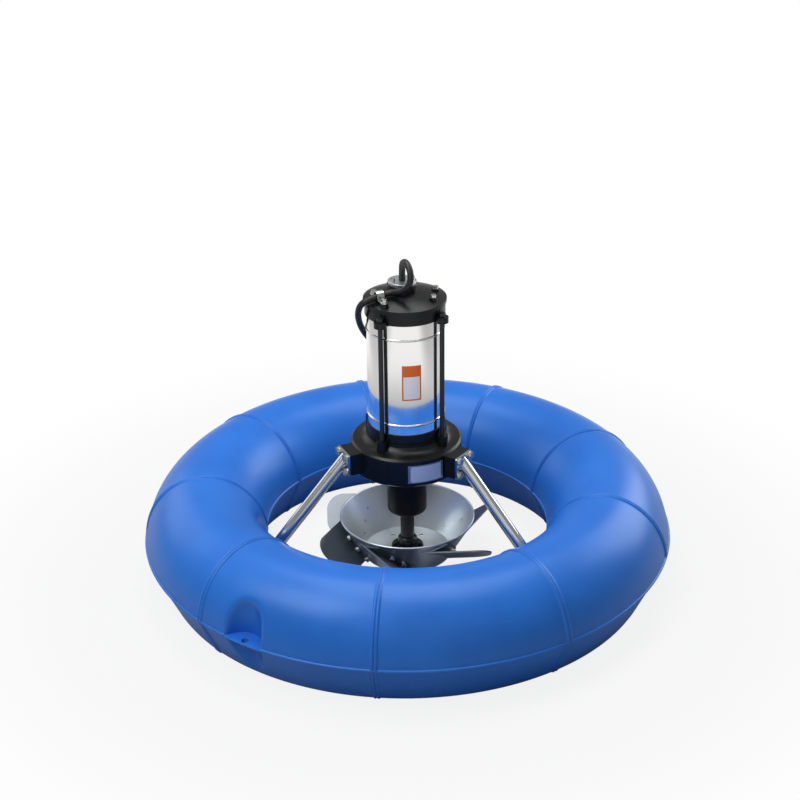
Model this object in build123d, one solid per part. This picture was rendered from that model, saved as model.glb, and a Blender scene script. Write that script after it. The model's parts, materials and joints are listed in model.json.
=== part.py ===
from build123d import *
import math
import os

# Surge aerator: a moulded float ring carries an upright motor on three tube arms, and the motor's
# shaft turns a cone-shaped bladed impeller in the middle of the ring.
# Frame: origin on the floor under the centre of the ring, +Z up, millimetres.
# Angles are azimuths in degrees, counted from +X towards +Y.

# Clearances
running_clearance = 0.05
slip_clearance = 0.3
seat_clearance = 0.02
plate_clearance = 0.12

# Float ring
ring_radius = 425.0
crown_half_width = 127.0
crown_centre_z = 76.5
crown_rise = 140.0
seam_z = 93.0
base_half_width = 84.0
base_corner_radius = 12.0
float_wall = 4.0
rib_count = 9
rib_first_azimuth = 23.0
rib_height = 3.0
rib_arc = 1.1
bead_height = 3.0
bead_width = 6.0
shelf_thickness = 9.0

# Mooring recesses on the outside of the ring
mooring_azimuths = (235.0, 55.0)
mooring_recess_radius = 48.0
mooring_recess_depth = 33.0
mooring_dome_z = 137.0
mooring_hole_radius = 7.0
mooring_hole_inset = 11.0

# Arm pockets on the inside of the ring
arm_names = ("left", "right", "rear")
arm_azimuths = (204.5, 324.5, 84.5)
arm_pocket_radius = 92.0
arm_pocket_depth = 40.0
arm_pocket_dome_z = 110.0

# Vent and its plug in the lower inner wall
vent_azimuth = 350.0
vent_z = 46.0
vent_radius = 6.0
plug_head_radius = 11.0
plug_head_thickness = 3.0

# Arms
arm_diameter = 25.0
arm_wall = 2.0
arm_slope = 46.5
head_plate_width = 54.0
head_plate_height = 46.0
head_plate_thickness = 5.0
head_plate_z = 270.0
head_bolt_inset = 7.5
foot_width = 92.0
foot_length = 46.0
foot_thickness = 5.0
foot_bolt_offset = 31.0
foot_inner_reach = 6.0
foot_edge_room = 1.0

# Fasteners
m6_radius = 3.0
m8_radius = 4.0
m10_radius = 5.0
washer_thickness = 1.6
flats_per_radius = 3.25
head_per_radius = 1.3
nut_per_radius = 1.6
washer_per_radius = 1.85
lug_thread_depth = 18.0
blind_room = 2.0

# Base casting
base_bottom_z = 235.0
base_top_z = 297.0
base_radius = 115.0
base_edge_radius = 4.0
lug_reach = 24.0
lug_face_radius = base_radius + lug_reach
lug_width = 54.0
flare = ((96.0, 299.5), (88.0, 304.0), (84.0, 310.0), (84.0, 317.0))
collar_radius = 81.2
collar_foot_z = 317.0
collar_top_z = 334.0
spigot_wall = 6.0
spigot_height = 10.0
rod_boss_radius = 12.0
rod_boss_top_z = 322.0
rod_thread_depth = 22.0
core_pocket_count = 6
core_pocket_inner = 70.0
core_pocket_wall = 8.0
core_pocket_top_z = 286.0
core_pocket_web = 10.0

# Motor shell
shell_radius = 78.5
shell_wall = 1.5
shell_top_z = 590.0
gasket_thickness = 1.5
gasket_width = 7.0
shell_bead_radius = 2.2
shell_bead_heights = (357.0, 544.0)

# Top cap
cap_skirt_radius = 81.5
cap_skirt_bottom_z = 576.0
cap_rim_radius = 84.0
cap_rim_bottom_z = 600.0
cap_rim_top_z = 607.0
cap_dome_top_z = 622.5
neck_offset = -5.0
neck_radius = 31.0
neck_height = 15.5
neck_top_z = cap_dome_top_z + neck_height
neck_bore_radius = 15.0
screw_boss_radius = 8.0
screw_boss_top_z = 619.0
screw_thread = 9.0
cap_dome_bulge = (60.0, 615.7)
cap_ceiling_z = 614.0
cap_lead_hole_radius = 8.0
cap_screw_places = ((56.0, -35.0), (62.0, 12.0))

# Tie rods: a thick body between threaded ends, held in ears at the foot of the cap's skirt
rod_circle_radius = 88.0
rod_radius = 4.0
rod_body_radius = 5.0
rod_azimuths = (236.0, 326.0, 56.0, 146.0)
rod_ear_radius = 13.0
ear_bottom_z = 572.0
ear_top_z = 584.0
rod_end_room = 0.5

# Gland and clamp
gland_radius = 29.0
gland_thickness = 5.0
gland_screw_offset = 21.0
gland_screw_azimuth = 20.0
gland_bush_length = 18.0
clamp_screw_places = ((-40.5, -61.7), (-61.5, -10.3))
clamp_width = 15.0
clamp_thickness = 2.0
clamp_cable_z = 624.4
clamp_slack = 2.3
clamp_hole_depth = 15.0

# Seal housing
seal_housing_radius = 41.5
seal_housing_bottom_z = 121.0
seal_housing_edge = 9.0
seal_flange_radius = 62.0
seal_flange_thickness = 8.0
seal_spigot_radius = 48.0
seal_spigot_height = 8.0
seal_screw_circle = 55.0
seal_screw_count = 4
seal_pocket_radius = 26.0
seal_wall = 6.0
seal_seat_thickness = 12.0
seal_ring_length = 16.0
seal_ring_wall = 10.0
oil_chamber_top_z = 292.0

# Shaft and bearings
shaft_radius = 14.5
shaft_end_z = 7.0
shaft_thread_radius = 8.0
shaft_hub_radius = 11.0
shaft_room = 1.5
rotor_seat_radius = 17.0
lower_bearing_bore = 15.0
lower_bearing_radius = 36.0
lower_bearing_width = 19.0
lower_bearing_z = 303.0
upper_bearing_bore = 12.5
upper_bearing_radius = 31.0
upper_bearing_width = 17.0
upper_bearing_z = 563.0
race_thickness = 6.0
bearing_shield = 1.5
shield_thickness = 7.0
shield_flange = 3.0
shield_hub_radius = 40.0
shield_cover = 4.0
lead_hole_radius = 8.0
lead_hole_place = 55.0
shaft_top_z = 584.0

# Stator and rotor
stator_bottom_z = 385.0
stator_length = 130.0
stator_bore = 46.0
air_gap = 0.5
winding_inner = 50.0
winding_outer = 71.0
winding_height = 24.0
rotor_overhang = 6.0

# Impeller
bowl_rim_radius = 143.0
bowl_rim_z = 108.0
bowl_floor_radius = 94.0
bowl_floor_z = 22.0
bowl_wall = 3.0
bowl_rim_bead = 2.2
hub_flange_radius = 34.0
hub_flange_thickness = 9.0
hub_edge = 3.0
hub_boss_radius = 20.0
hub_top_z = 57.0
hub_bolt_circle = 27.5
hub_bolt_count = 6
drain_hole_circle = 62.0
drain_hole_radius = 4.0
drain_hole_count = 6
impeller_nut_height = 11.0

# Blades: a plate leans far out from the bowl's wall and is swept back from the radius
blade_count = 6
blade_first_azimuth = 162.5
blade_thickness = 3.0
blade_root_radius = 132.7
blade_length = 148.0
blade_width = 99.0
blade_root_z = 90.0
blade_lean = 52.0
blade_sweep = 80.0
blade_inner_reach = 45.0
blade_corner_radius = 37.5
blade_tab_length = 98.0
tab_width = 15.5
tab_bolt_offset = 10.5
tab_thickness = 2.5
tab_bolt_heights = (74.0, 56.0, 38.0)
washer_lift = 0.3

# Nameplate and label
nameplate_lug_angle = 34.5
nameplate_azimuth = arm_azimuths[1] - nameplate_lug_angle
nameplate_width = 76.0
nameplate_height = 40.0
nameplate_z = 265.0
nameplate_thickness = 0.8
nameplate_rivet_inset = 3.5
rivet_radius = 1.8
rivet_head = 0.8
label_azimuth = 278.5
label_width = 39.0
label_height = 76.0
label_z = 452.0
label_thickness = 0.4

# Cable: its route from the gland to the coil, chosen by hand
cable_diameter = 13.0
cable_route = [
    (-5, 0, 638),
    (-5, 0, 662),
    (-4, -14, 686),
    (4, -33, 693),
    (12, -49, 678),
    (11, -56, 655),
    (-6, -49, 637),
    (-30, -29, 629),
    (-73, -45, 619.5),
    (-88, -41, 608),
    (-94, -24, 583),
    (-93, 2, 556),
    (-89, 32, 528),
    (-78, 64, 494),
    (-53, 87, 456),
    (-28, 102, 412),
    (-12, 120, 368),
    (-6, 152, 324),
    (-6, 198, 286),
    (-8, 250, 258),
    (-8, 308, 240),
    (-7, 366, 231),
    (-4, 426, 229),
    (0, 484, 215),
    (3, 534, 182),
    (6, 572, 134),
    (8, 592, 84),
    (10, 606, 40),
    (22, 620, 14),
    (46, 636, 9),
    (70, 662, 8.5),
]
cable_bend_share = 0.45
coil_centre = Vector(0, 705, 0)
coil_mean_radius = 70.0
coil_turns_across = 2
coil_turns_high = 2
tie_thickness = 2.0
tie_width = 8.0
tie_azimuths = (60.0, 240.0)
tail_route = [(-76.5, 705, 21.5), (-78, 678, 19), (-83, 652, 12), (-93, 630, 7.5), (-108, 610, 7)]
wire_radius = 1.9
wire_length = 60.0
wire_fan = 5.0
wire_spacing = 4.8

UPRIGHT = (Align.CENTER, Align.CENTER, Align.MIN)
HANGING = (Align.CENTER, Align.CENTER, Align.MAX)


def polar(radius, azimuth, z=0.0):
    """The point at a radius and azimuth from the motor's axis."""
    angle = math.radians(azimuth)
    return Vector(radius * math.cos(angle), radius * math.sin(angle), z)


def turned(shape, azimuth):
    """The shape turned about the motor's axis."""
    return shape.rotate(Axis.Z, azimuth)


def upright(radius, height, point):
    """A cylinder that stands on a point."""
    return Pos(*point) * Cylinder(radius, height, align=UPRIGHT)


def hexagon(radius, height):
    """A hexagonal nut or bolt head for a thread of this radius, standing on the origin."""
    return extrude(RegularPolygon(radius * flats_per_radius / 2, 6, major_radius=False), height)


def bolt(radius, grip, thread):
    """A bolt whose washer lies on the origin: head above, grip and thread below."""
    shank = Pos(0, 0, -grip - thread) * Cylinder(radius, grip + thread, align=UPRIGHT)
    washer = Cylinder(washer_per_radius * radius, washer_thickness, align=UPRIGHT)
    head = Pos(0, 0, washer_thickness) * hexagon(radius, head_per_radius * radius)
    return shank + washer + head


def nut(radius):
    """A nut and washer hung under the origin."""
    height = nut_per_radius * radius
    body = Pos(0, 0, -height - washer_thickness) * hexagon(radius, height)
    washer = Cylinder(washer_per_radius * radius, washer_thickness, align=HANGING)
    hole = Pos(0, 0, -2 * height) * Cylinder(radius + seat_clearance, 3 * height, align=UPRIGHT)
    return body + washer - hole


def revolved(points):
    """A solid of revolution about Z from a closed profile of (radius, height) points."""
    profile = make_face(Polyline([(r, 0, z) for r, z in points], close=True))
    return revolve(profile, Axis.Z)


def ring(inner, outer, bottom, top):
    """A plain ring about Z."""
    return revolved([(inner, bottom), (outer, bottom), (outer, top), (inner, top)])


def group(pieces):
    """Several separate solids as one node."""
    return Compound(children=[solid for piece in pieces for solid in piece.solids()])


def at_corners(width, height):
    """The four corners of a centred rectangle."""
    return [(sx * width / 2, sy * height / 2) for sx in (-1, 1) for sy in (-1, 1)]


def tube_section(inset):
    """The float's section, a crown on a tapered base, drawn inside its outline by an inset."""
    crown = Plane.XZ * Pos(ring_radius, crown_centre_z) * Ellipse(
        crown_half_width - inset, crown_rise - inset
    )
    tall = 2 * crown_rise
    above_seam = Plane.XZ * Pos(ring_radius, seam_z + tall / 2) * Rectangle(4 * crown_half_width, tall)
    seam_angle = math.asin((seam_z - crown_centre_z) / (crown_rise - inset))
    seam_half = (crown_half_width - inset) * math.cos(seam_angle)
    base_half = base_half_width - inset
    base = make_face(
        Polyline(
            [
                (ring_radius - base_half, 0, inset),
                (ring_radius + base_half, 0, inset),
                (ring_radius + seam_half, 0, seam_z),
                (ring_radius - seam_half, 0, seam_z),
            ],
            close=True,
        )
    )
    return (crown & above_seam) + base


def seam_half_width():
    """Half the float's width at its seam."""
    return crown_half_width * math.cos(math.asin((seam_z - crown_centre_z) / crown_rise))


def recess(radius, centre_distance, azimuth, bottom, dome_z, grow=0.0):
    """An upright round recess with a domed top."""
    foot = polar(centre_distance, azimuth, bottom)
    shaft = upright(radius + grow, dome_z - bottom, foot)
    dome = Pos(foot.X, foot.Y, dome_z) * Sphere(radius + grow)
    return shaft + dome


def recess_places():
    """Radius, centre distance, azimuth and dome height of each recess in the float."""
    outside = ring_radius + seam_half_width()
    inside = ring_radius - seam_half_width()
    mooring_centre = outside - mooring_recess_depth + mooring_recess_radius
    pocket_centre = inside + arm_pocket_depth - arm_pocket_radius
    places = [(mooring_recess_radius, mooring_centre, a, mooring_dome_z) for a in mooring_azimuths]
    places += [(arm_pocket_radius, pocket_centre, a, arm_pocket_dome_z) for a in arm_azimuths]
    return places


def shelf_below(radius, centre_distance, azimuth):
    """The part of a recess under its shelf, which the tapered base runs out of."""
    foot = polar(centre_distance, azimuth, -1)
    return upright(radius, seam_z - shelf_thickness + 1, foot)


def seam_beads():
    """The raised parting line along the seam, outside and inside."""
    half = seam_half_width()
    low = seam_z - bead_width / 2
    edges = [ring_radius + side * half for side in (-1, 1)]
    return [ring(e - bead_height, e + bead_height, low, low + bead_width) for e in edges]


def ribs():
    """The raised mould lines across the tube, at even steps round the ring."""
    tall = 2 * crown_rise
    above_floor = Box(4 * ring_radius, 4 * ring_radius, tall, align=UPRIGHT)
    rib = revolve(tube_section(-rib_height), Axis.Z, rib_arc) & above_floor
    start = rib_first_azimuth - rib_arc / 2
    return [turned(rib, start + number * 360 / rib_count) for number in range(rib_count)]


def shelf_hole(radius, spot):
    """A drilling through a shelf at the seam."""
    return upright(radius, shelf_thickness + 2, Vector(spot.X, spot.Y, seam_z - shelf_thickness - 1))


def mooring_spots():
    """Centres of the mooring holes."""
    return [polar(ring_radius + seam_half_width() - mooring_hole_inset, a) for a in mooring_azimuths]


def float_ring():
    """The hollow moulded ring with ribs, seam bead, recesses, shelves and holes."""
    body = revolve(tube_section(0), Axis.Z)
    lower_edges = [e for e in body.edges() if abs(e.center().Z) < 0.01]
    body = fillet(lower_edges, base_corner_radius)
    body = body.fuse(*seam_beads(), *ribs())
    cavity = revolve(tube_section(float_wall), Axis.Z)
    recesses = []
    grown = []
    for radius, distance, azimuth, dome_z in recess_places():
        recesses.append(recess(radius, distance, azimuth, seam_z, dome_z))
        recesses.append(shelf_below(radius, distance, azimuth))
        grown.append(recess(radius, distance, azimuth, -1, dome_z, grow=float_wall))
    cavity = cavity.cut(*grown)
    holes = [shelf_hole(mooring_hole_radius, spot) for spot in mooring_spots()]
    for azimuth in arm_azimuths:
        holes += [shelf_hole(m10_radius + slip_clearance, s) for s in foot_bolt_spots(azimuth, 0)]
    return body.cut(cavity, *recesses, *holes, vent_tool(vent_radius))


def wall_tilt():
    """Tilt of the float's lower wall from upright, in degrees."""
    return math.degrees(math.atan2(seam_half_width() - base_half_width, seam_z))


def vent_frame():
    """A plane on the lower inner wall at the vent, with its normal into the ring's hole."""
    lean = math.radians(wall_tilt())
    share = vent_z / seam_z
    reach = base_half_width + (seam_half_width() - base_half_width) * share
    point = polar(ring_radius - reach, vent_azimuth, vent_z)
    inward = -polar(math.cos(lean), vent_azimuth) - Vector(0, 0, math.sin(lean))
    return Plane(origin=point, z_dir=inward)


def vent_tool(radius):
    """The vent's drilling through the lower inner wall."""
    return vent_frame() * Cylinder(radius, 4 * float_wall)


def float_plug():
    """The plug that closes the vent, with a flat head on the wall and a stem in the hole."""
    frame = vent_frame()
    lift = plug_head_radius ** 2 / (2 * (ring_radius - crown_half_width))
    head = frame * Pos(0, 0, lift) * Cylinder(plug_head_radius, plug_head_thickness, align=UPRIGHT)
    depth = lift + 2 * float_wall
    stem = frame * Pos(0, 0, lift - depth) * Cylinder(vent_radius - seat_clearance, depth, align=UPRIGHT)
    return head + stem


def foot_inner_edge():
    """Distance of the foot plate's inner edge from the axis."""
    return ring_radius - seam_half_width() - bead_height - foot_inner_reach


def foot_bolt_spots(azimuth, z):
    """The two bolt centres of a foot, at a height."""
    middle = polar(foot_inner_edge() + foot_length / 2, azimuth, z)
    across = polar(foot_bolt_offset, azimuth + 90)
    return [middle + across, middle - across]


def head_plate_face():
    """Distance of the head plates' outer face from the axis."""
    return lug_face_radius + head_plate_thickness


def arm_tube(azimuth):
    """A round tube from the head plate down to the foot, cut flush with both."""
    foot_top = seam_z + foot_thickness
    slope = math.radians(arm_slope)
    along = Vector(math.cos(slope), 0, -math.sin(slope))
    spare = 2 * arm_diameter
    length = (head_plate_z - foot_top) / math.sin(slope) + 2 * spare
    line = Plane(origin=Vector(head_plate_face(), 0, head_plate_z) - along * spare, z_dir=along)
    tube = line * Cylinder(arm_diameter / 2, length, align=UPRIGHT)
    bore = line * Cylinder(arm_diameter / 2 - arm_wall, length, align=UPRIGHT)
    room = Pos(head_plate_face(), 0, foot_top) * Box(
        ring_radius, ring_radius, head_plate_z, align=(Align.MIN, Align.CENTER, Align.MIN)
    )
    return turned((tube - bore) & room, azimuth)


def head_bolt_frames(azimuth, distance):
    """Planes at the four head bolts, facing out from the lug, at a distance from the axis."""
    across = head_plate_width - 2 * head_bolt_inset
    up = head_plate_height - 2 * head_bolt_inset
    outward = polar(1, azimuth)
    sideways = polar(1, azimuth + 90)
    middle = outward * distance + Vector(0, 0, head_plate_z)
    spots = [middle + sideways * a + Vector(0, 0, b) for a, b in at_corners(across, up)]
    return [Plane(origin=spot, x_dir=sideways, z_dir=outward) for spot in spots]


def head_plate(azimuth):
    """The plate that bolts an arm to its lug."""
    plate = Pos(lug_face_radius, 0, head_plate_z) * Box(
        head_plate_thickness,
        head_plate_width,
        head_plate_height,
        align=(Align.MIN, Align.CENTER, Align.CENTER),
    )
    plate = turned(fillet(plate.edges().filter_by(Axis.X), head_plate_thickness / 2), azimuth)
    hole = Pos(0, 0, -head_plate_thickness) * Cylinder(
        m8_radius + slip_clearance, 3 * head_plate_thickness, align=UPRIGHT
    )
    return plate.cut(*[frame * hole for frame in head_bolt_frames(azimuth, lug_face_radius)])


def head_bolts():
    """Four bolts with washers on each head plate."""
    piece = bolt(m8_radius, head_plate_thickness, lug_thread_depth)
    frames = [f for azimuth in arm_azimuths for f in head_bolt_frames(azimuth, head_plate_face())]
    return group([frame * piece for frame in frames])


def arm_foot(azimuth):
    """The plate under an arm, bolted to the shelf in its pocket."""
    distance = ring_radius - seam_half_width() + arm_pocket_depth - arm_pocket_radius
    plate = Pos(foot_inner_edge(), 0, seam_z) * Box(
        foot_length, foot_width, foot_thickness, align=(Align.MIN, Align.CENTER, Align.MIN)
    )
    inside = Pos(distance, 0, 0) * Cylinder(arm_pocket_radius - foot_edge_room, 4 * seam_z)
    plate = turned(plate & inside, azimuth)
    hole_radius = m10_radius + slip_clearance
    return plate.cut(*[shelf_hole(hole_radius, s) for s in foot_bolt_spots(azimuth, 0)], *[
        upright(hole_radius, 2 * foot_thickness, s) for s in foot_bolt_spots(azimuth, seam_z - 1)
    ])


def foot_bolts():
    """Two bolts through each foot and its shelf."""
    piece = bolt(m10_radius, foot_thickness + shelf_thickness, 2 * nut_per_radius * m10_radius)
    top = seam_z + foot_thickness
    return group([Pos(*s) * piece for a in arm_azimuths for s in foot_bolt_spots(a, top)])


def foot_nuts():
    """The nuts under the shelves."""
    piece = nut(m10_radius)
    low = seam_z - shelf_thickness
    return group([Pos(*s) * piece for a in arm_azimuths for s in foot_bolt_spots(a, low)])


def even_azimuths(count, first=0.0):
    """Evenly spaced azimuths."""
    return [first + number * 360 / count for number in range(count)]


def rod_spots(z):
    """The four tie rods' centres, at a height."""
    return [polar(rod_circle_radius, azimuth, z) for azimuth in rod_azimuths]


def base_lug(azimuth):
    """A block on the drum that carries one head plate."""
    root = base_radius - core_pocket_wall
    block = Pos(root, 0, head_plate_z) * Box(
        lug_face_radius - root,
        lug_width,
        head_plate_height,
        align=(Align.MIN, Align.CENTER, Align.CENTER),
    )
    return turned(block, azimuth)


def core_pockets():
    """The sector hollows open under the drum, with webs between them."""
    outer = base_radius - core_pocket_wall
    pocket = ring(core_pocket_inner, outer, base_bottom_z - 1, core_pocket_top_z)
    web = Box(
        2 * base_radius,
        core_pocket_web,
        4 * base_top_z,
        align=(Align.MIN, Align.CENTER, Align.CENTER),
    )
    return pocket.cut(*[turned(web, a) for a in even_azimuths(core_pocket_count, arm_azimuths[0])])


def base_housing():
    """The cast drum under the motor, with bearing seat, oil chamber, collar, lugs and rod bosses."""
    bearing_top = lower_bearing_z + lower_bearing_width
    shell_inside = shell_radius - shell_wall - seat_clearance
    body = revolved(
        [
            (seal_spigot_radius, base_bottom_z),
            (base_radius - base_edge_radius, base_bottom_z),
            (base_radius, base_bottom_z + base_edge_radius),
            (base_radius, base_top_z - base_edge_radius),
            (base_radius - base_edge_radius, base_top_z),
            *flare,
            (collar_radius, collar_foot_z),
            (collar_radius, collar_top_z),
            (shell_inside, collar_top_z),
            (shell_inside, collar_top_z + spigot_height),
            (shell_inside - spigot_wall, collar_top_z + spigot_height),
            (shell_inside - spigot_wall, bearing_top),
            (lower_bearing_radius + seat_clearance, bearing_top),
            (lower_bearing_radius + seat_clearance, lower_bearing_z),
            (rotor_seat_radius + shaft_room, lower_bearing_z),
            (rotor_seat_radius + shaft_room, oil_chamber_top_z),
            (seal_spigot_radius, oil_chamber_top_z),
        ]
    )
    boss_height = rod_boss_top_z - core_pocket_top_z
    additions = [base_lug(azimuth) for azimuth in arm_azimuths]
    additions += [upright(rod_boss_radius, boss_height, s) for s in rod_spots(core_pocket_top_z)]
    body = body.fuse(*additions)
    above_collar = ring(shell_inside, 2 * base_radius, collar_top_z, 2 * collar_top_z)
    holes = [core_pockets(), above_collar]
    rod_holes = rod_spots(rod_boss_top_z - rod_thread_depth)
    holes += [upright(rod_radius + seat_clearance, 2 * rod_thread_depth, s) for s in rod_holes]
    depth = lug_thread_depth + blind_room
    hole = Pos(0, 0, -depth) * Cylinder(m8_radius + seat_clearance, 2 * depth, align=UPRIGHT)
    holes += [f * hole for a in arm_azimuths for f in head_bolt_frames(a, lug_face_radius)]
    hole = Cylinder(m6_radius + seat_clearance, 2 * (screw_thread + blind_room))
    holes += [Pos(*s) * hole for s in seal_screw_spots(base_bottom_z)]
    hole = Cylinder(rivet_radius + seat_clearance, 2 * (rivet_length() + 1))
    holes += [frame * hole for frame in rivet_frames(base_radius)]
    return body.cut(*holes)


def seal_screw_spots(z):
    """Centres of the seal housing's screws, at a height."""
    return [polar(seal_screw_circle, a, z) for a in even_azimuths(seal_screw_count, 45)]


def seal_housing():
    """The bearing and seal barrel under the drum."""
    height = base_bottom_z - seal_flange_thickness - seal_housing_bottom_z
    barrel = Pos(0, 0, seal_housing_bottom_z) * Cylinder(seal_housing_radius, height, align=UPRIGHT)
    barrel = fillet(barrel.edges().sort_by(Axis.Z)[0], seal_housing_edge)
    flange_z = base_bottom_z - seal_flange_thickness
    flange = ring(seal_pocket_radius, seal_flange_radius, flange_z, base_bottom_z)
    spigot = ring(
        seal_pocket_radius,
        seal_spigot_radius - seat_clearance,
        base_bottom_z - 1,
        base_bottom_z + seal_spigot_height,
    )
    floor_z = seal_housing_bottom_z + seal_wall
    pocket = Pos(0, 0, floor_z) * Cylinder(seal_pocket_radius, base_bottom_z, align=UPRIGHT)
    mouth = Cylinder(shaft_radius + shaft_room, 2 * base_bottom_z)
    hole = Cylinder(m6_radius + slip_clearance, 4 * seal_flange_thickness)
    holes = [Pos(*s) * hole for s in seal_screw_spots(base_bottom_z)]
    return barrel.fuse(flange, spigot).cut(pocket, mouth, *holes)


def seal_housing_screws():
    """Screws up through the seal housing's flange."""
    piece = Rot(180, 0, 0) * bolt(m6_radius, seal_flange_thickness, screw_thread)
    return group([Pos(*s) * piece for s in seal_screw_spots(base_bottom_z - seal_flange_thickness)])


def shell_bottom_z():
    """The motor shell's lower edge, on its gasket."""
    return collar_top_z + gasket_thickness


def motor_shell():
    """The thin tube round the motor, with two rolled beads."""
    bottom = shell_bottom_z()
    shell = ring(shell_radius - shell_wall, shell_radius, bottom, shell_top_z)
    beads = [Pos(0, 0, z) * Torus(shell_radius, shell_bead_radius) for z in shell_bead_heights]
    inside = Cylinder(shell_radius - shell_wall, 4 * shell_top_z)
    return shell.fuse(*beads).cut(inside)


def shell_gasket_lower():
    """The flat ring under the motor shell."""
    inner = shell_radius - shell_wall
    return ring(inner, collar_radius - 1, collar_top_z, shell_bottom_z())


def cap_seat_z():
    """The height at which the cap bears on its gasket."""
    return shell_top_z + shield_flange + gasket_thickness


def shell_gasket_upper():
    """The flat ring between the upper end shield and the cap."""
    return ring(shell_radius - gasket_width, shell_radius, cap_seat_z() - gasket_thickness, cap_seat_z())


def upper_end_shield():
    """The plate that closes the shell and holds the upper bearing."""
    inside = shell_radius - shell_wall - seat_clearance
    bearing_top = upper_bearing_z + upper_bearing_width
    top = shell_top_z + shield_flange
    body = revolved(
        [
            (0, bearing_top + shield_cover),
            (rotor_seat_radius, bearing_top + shield_cover),
            (rotor_seat_radius, bearing_top),
            (upper_bearing_radius + seat_clearance, bearing_top),
            (upper_bearing_radius + seat_clearance, upper_bearing_z - 2),
            (shield_hub_radius, upper_bearing_z - 2),
            (shield_hub_radius, shell_top_z - shield_thickness),
            (inside, shell_top_z - shield_thickness),
            (inside, shell_top_z),
            (shell_radius, shell_top_z),
            (shell_radius, top),
            (0, top),
        ]
    )
    return body - Pos(lead_hole_place, 0, shell_top_z) * Cylinder(lead_hole_radius, 4 * shield_thickness)


def neck_spot(z):
    """The middle of the cap's neck, at a height."""
    return Vector(neck_offset, 0, z)


def top_cap():
    """The cast cap with skirt, rim, dome, neck, four ears on the skirt and four screw bosses."""
    skirt_inside = shell_radius + slip_clearance
    neck_reach = neck_radius - abs(neck_offset)
    rim = (cap_rim_radius, cap_rim_top_z)
    outline = [
        Polyline(
            (0, cap_ceiling_z),
            (neck_reach, cap_ceiling_z),
            (shell_radius - gasket_width, cap_rim_bottom_z),
            (shell_radius - gasket_width, cap_seat_z()),
            (skirt_inside, cap_seat_z()),
            (skirt_inside, cap_skirt_bottom_z),
            (cap_skirt_radius, cap_skirt_bottom_z),
            (cap_skirt_radius, cap_rim_bottom_z),
            (cap_rim_radius, cap_rim_bottom_z),
            rim,
        ),
        ThreePointArc(rim, cap_dome_bulge, (neck_reach, cap_dome_top_z)),
        Polyline((neck_reach, cap_dome_top_z), (0, cap_dome_top_z), (0, cap_ceiling_z)),
    ]
    body = revolve(Plane.XZ * make_face(Curve() + outline), Axis.Z)
    neck = upright(neck_radius, neck_top_z - cap_ceiling_z, neck_spot(cap_ceiling_z))
    neck = fillet(neck.edges().sort_by(Axis.Z)[-1], 2)
    ear_height = ear_top_z - ear_bottom_z
    ears = [upright(rod_ear_radius, ear_height, s) for s in rod_spots(ear_bottom_z)]
    boss_height = screw_boss_top_z - cap_rim_bottom_z
    places = cap_screw_places + clamp_screw_places
    bosses = [upright(screw_boss_radius, boss_height, (x, y, cap_rim_bottom_z)) for x, y in places]
    body = body.fuse(neck, *ears, *bosses)
    bush_z = neck_top_z - gland_bush_length
    cuts = [
        Pos(0, 0, cap_seat_z()) * Cylinder(skirt_inside, 2 * cap_seat_z(), align=HANGING),
        upright(neck_bore_radius, neck_top_z, neck_spot(bush_z)),
        upright(cap_lead_hole_radius, neck_top_z, neck_spot(cap_seat_z())),
    ]
    rod_hole_bottom = ear_bottom_z - ear_height
    cuts += [upright(rod_radius + slip_clearance, 3 * ear_height, s) for s in rod_spots(rod_hole_bottom)]
    hole = Cylinder(m6_radius + seat_clearance, 2 * (screw_thread + blind_room))
    cuts += [Pos(x, y, screw_boss_top_z) * hole for x, y in places]
    cuts += [Pos(*s) * hole for s in gland_screw_spots(neck_top_z)]
    spot_radius = washer_per_radius * rod_radius + slip_clearance
    room = cap_rim_bottom_z - ear_top_z
    cuts += [upright(spot_radius, room, s) for s in rod_spots(ear_top_z)]
    return body.cut(*cuts)


def cap_screws():
    """The two screws on the cap's free bosses and the two that hold the cable clamp."""
    free = bolt(m6_radius, 0, screw_thread)
    pieces = [Pos(x, y, screw_boss_top_z) * free for x, y in cap_screw_places]
    clamping = bolt(m6_radius, clamp_thickness, screw_thread)
    z = screw_boss_top_z + clamp_thickness
    return group(pieces + [Pos(x, y, z) * clamping for x, y in clamp_screw_places])


def tie_rods():
    """The four rods between the drum's bosses and the cap's ears."""
    bottom = rod_boss_top_z - rod_thread_depth + 1
    top = ear_top_z + washer_thickness + nut_per_radius * rod_radius + 2
    body_length = ear_bottom_z - rod_boss_top_z - 2 * rod_end_room
    threads = [upright(rod_radius, top - bottom, s) for s in rod_spots(bottom)]
    bodies = [upright(rod_body_radius, body_length, s) for s in rod_spots(rod_boss_top_z + rod_end_room)]
    return group([thread + body for thread, body in zip(threads, bodies)])


def tie_rod_nuts():
    """Nuts and washers on the cap's ears."""
    piece = Rot(180, 0, 0) * nut(rod_radius)
    return group([Pos(*s) * piece for s in rod_spots(ear_top_z)])


def gland_screw_spots(z):
    """Centres of the gland's screws, at a height."""
    azimuths = (gland_screw_azimuth, gland_screw_azimuth + 180)
    return [neck_spot(z) + polar(gland_screw_offset, a) for a in azimuths]


def gland_plate():
    """The round plate that presses the cable's bush into the neck."""
    plate = upright(gland_radius, gland_thickness, neck_spot(neck_top_z))
    plate = fillet(plate.edges().sort_by(Axis.Z)[-1], 1)
    bore = Cylinder(cable_diameter / 2 + 2 * slip_clearance, 4 * gland_thickness)
    bore = Pos(*neck_spot(neck_top_z)) * bore
    hole = Cylinder(m6_radius + slip_clearance, 4 * gland_thickness)
    return plate.cut(bore, *[Pos(*s) * hole for s in gland_screw_spots(neck_top_z)])


def gland_screws():
    """The gland's two screws."""
    piece = bolt(m6_radius, gland_thickness, screw_thread)
    return group([Pos(*s) * piece for s in gland_screw_spots(neck_top_z + gland_thickness)])


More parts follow.
